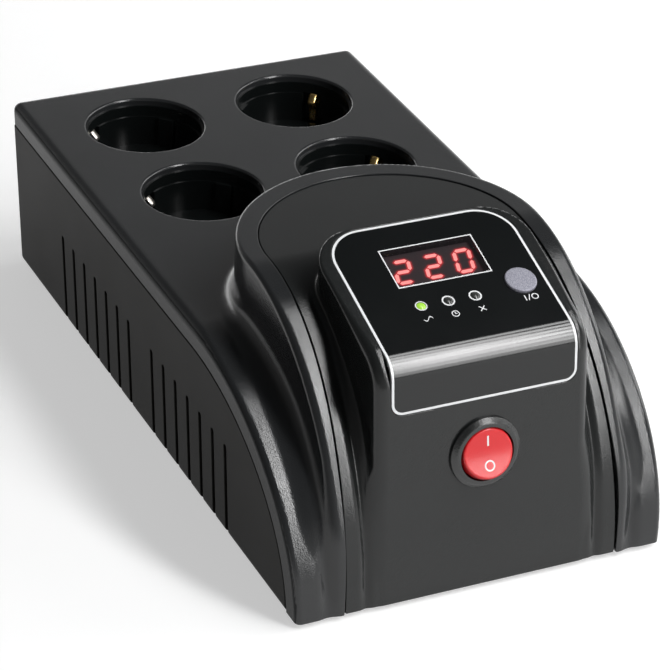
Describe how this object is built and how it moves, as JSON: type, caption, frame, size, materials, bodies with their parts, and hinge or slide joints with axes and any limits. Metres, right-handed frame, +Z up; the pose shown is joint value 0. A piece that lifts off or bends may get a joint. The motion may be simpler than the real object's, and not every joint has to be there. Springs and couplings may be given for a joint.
{
  "type": "voltage stabilizer",
  "caption": "Desktop voltage stabilizer: a low dark housing with recessed earthed outlets on its deck, a raised front console with a display and a round rocker switch.",
  "frame": {"origin": "on the floor, under the middle of the whole part's bounding box", "axes": "+X to the right seen from the front, -Y towards the console and switch, +Z up"},
  "size_m": [0.1322, 0.2584, 0.099],
  "materials": {
    "cover_plastic": "moulded dark grey, fine grain",
    "tray_plastic": "moulded dark grey, fine grain",
    "panel_plastic": "moulded dark grey, fine grain",
    "feet_rubber": "matte",
    "steel": "zinc plated",
    "label_gloss": "glossy printed film",
    "lens_red": "dark red window",
    "module_black": "potted",
    "digit_red": "lit segments",
    "lamp_green": "lit",
    "lamp_clear": "unlit",
    "button_grey": "moulded",
    "board_green": "printed board",
    "switch_black": "satin",
    "rocker_red": "moulded",
    "brass": "stamped",
    "outlet_black": "moulded",
    "core_steel": "laminated",
    "bobbin_white": "moulded",
    "copper": "enamelled copper wire",
    "relay_blue": "sealed",
    "capacitor_sleeve": "shrunk sleeve",
    "aluminium": "extruded",
    "ribbon_grey": "flat cable",
    "wire_brown": "insulated wire",
    "reset_red": "moulded"
  },
  "bodies": {
    "housing": {"bottom_tray": "tray_plastic", "rubber_feet": "feet_rubber", "top_cover": "cover_plastic", "front_panel": "panel_plastic", "cover_screws": "steel", "panel_screws": "steel", "fascia_label": "label_gloss", "display_lens": "lens_red", "display_module": "module_black", "display_segments": "digit_red", "working_lamp": "lamp_green", "delay_lamp": "lamp_clear", "fault_lamp": "lamp_clear", "tact_switch": "module_black", "display_board": "board_green", "display_screws": "steel", "switch_housing": "switch_black", "switch_terminals": "brass", "outlet_1": "outlet_black", "outlet_2": "outlet_black", "outlet_3": "outlet_black", "outlet_4": "outlet_black", "outlet_screws": "steel", "earth_clip_1": "brass", "earth_clip_2": "brass", "earth_clip_3": "brass", "earth_clip_4": "brass", "live_bars": "brass", "neutral_bars": "brass", "earth_bar": "brass", "transformer_core": "core_steel", "winding_bobbin": "bobbin_white", "copper_winding": "copper", "transformer_bracket": "aluminium", "bracket_screws": "steel", "control_board": "board_green", "board_screws": "steel", "relay_1": "relay_blue", "relay_2": "relay_blue", "relay_3": "relay_blue", "relay_4": "relay_blue", "control_chip": "module_black", "filter_capacitors": "capacitor_sleeve", "heat_sink": "aluminium", "board_tabs": "brass", "ribbon_cable": "ribbon_grey", "power_inlet": "switch_black", "inlet_pins": "brass", "inlet_screws": "steel", "breaker_body": "switch_black", "breaker_nut": "steel", "mains_wiring": "wire_brown"},
    "rocker": {"switch_rocker": "rocker_red"},
    "button": {"push_button": "button_grey", "tact_plunger": "button_grey"},
    "reset_button": {"breaker_button": "reset_red"}
  },
  "joints": [
    {"name": "rocker_tilt", "type": "hinge", "parent": "housing", "child": "rocker", "pos_m": [0, -0.12311, 0.0475], "axis": [1, 0, 0], "range_deg": [0, 24]},
    {"name": "button_press", "type": "slide", "parent": "housing", "child": "button", "axis": [0, 0.294, -0.9558], "range_m": [0, 0.0005], "stiffness_N_per_m": 300, "springref_m": -0.001},
    {"name": "reset_push", "type": "slide", "parent": "housing", "child": "reset_button", "axis": [0, 1, 0], "range_m": [0, 0.003]}
  ]
}
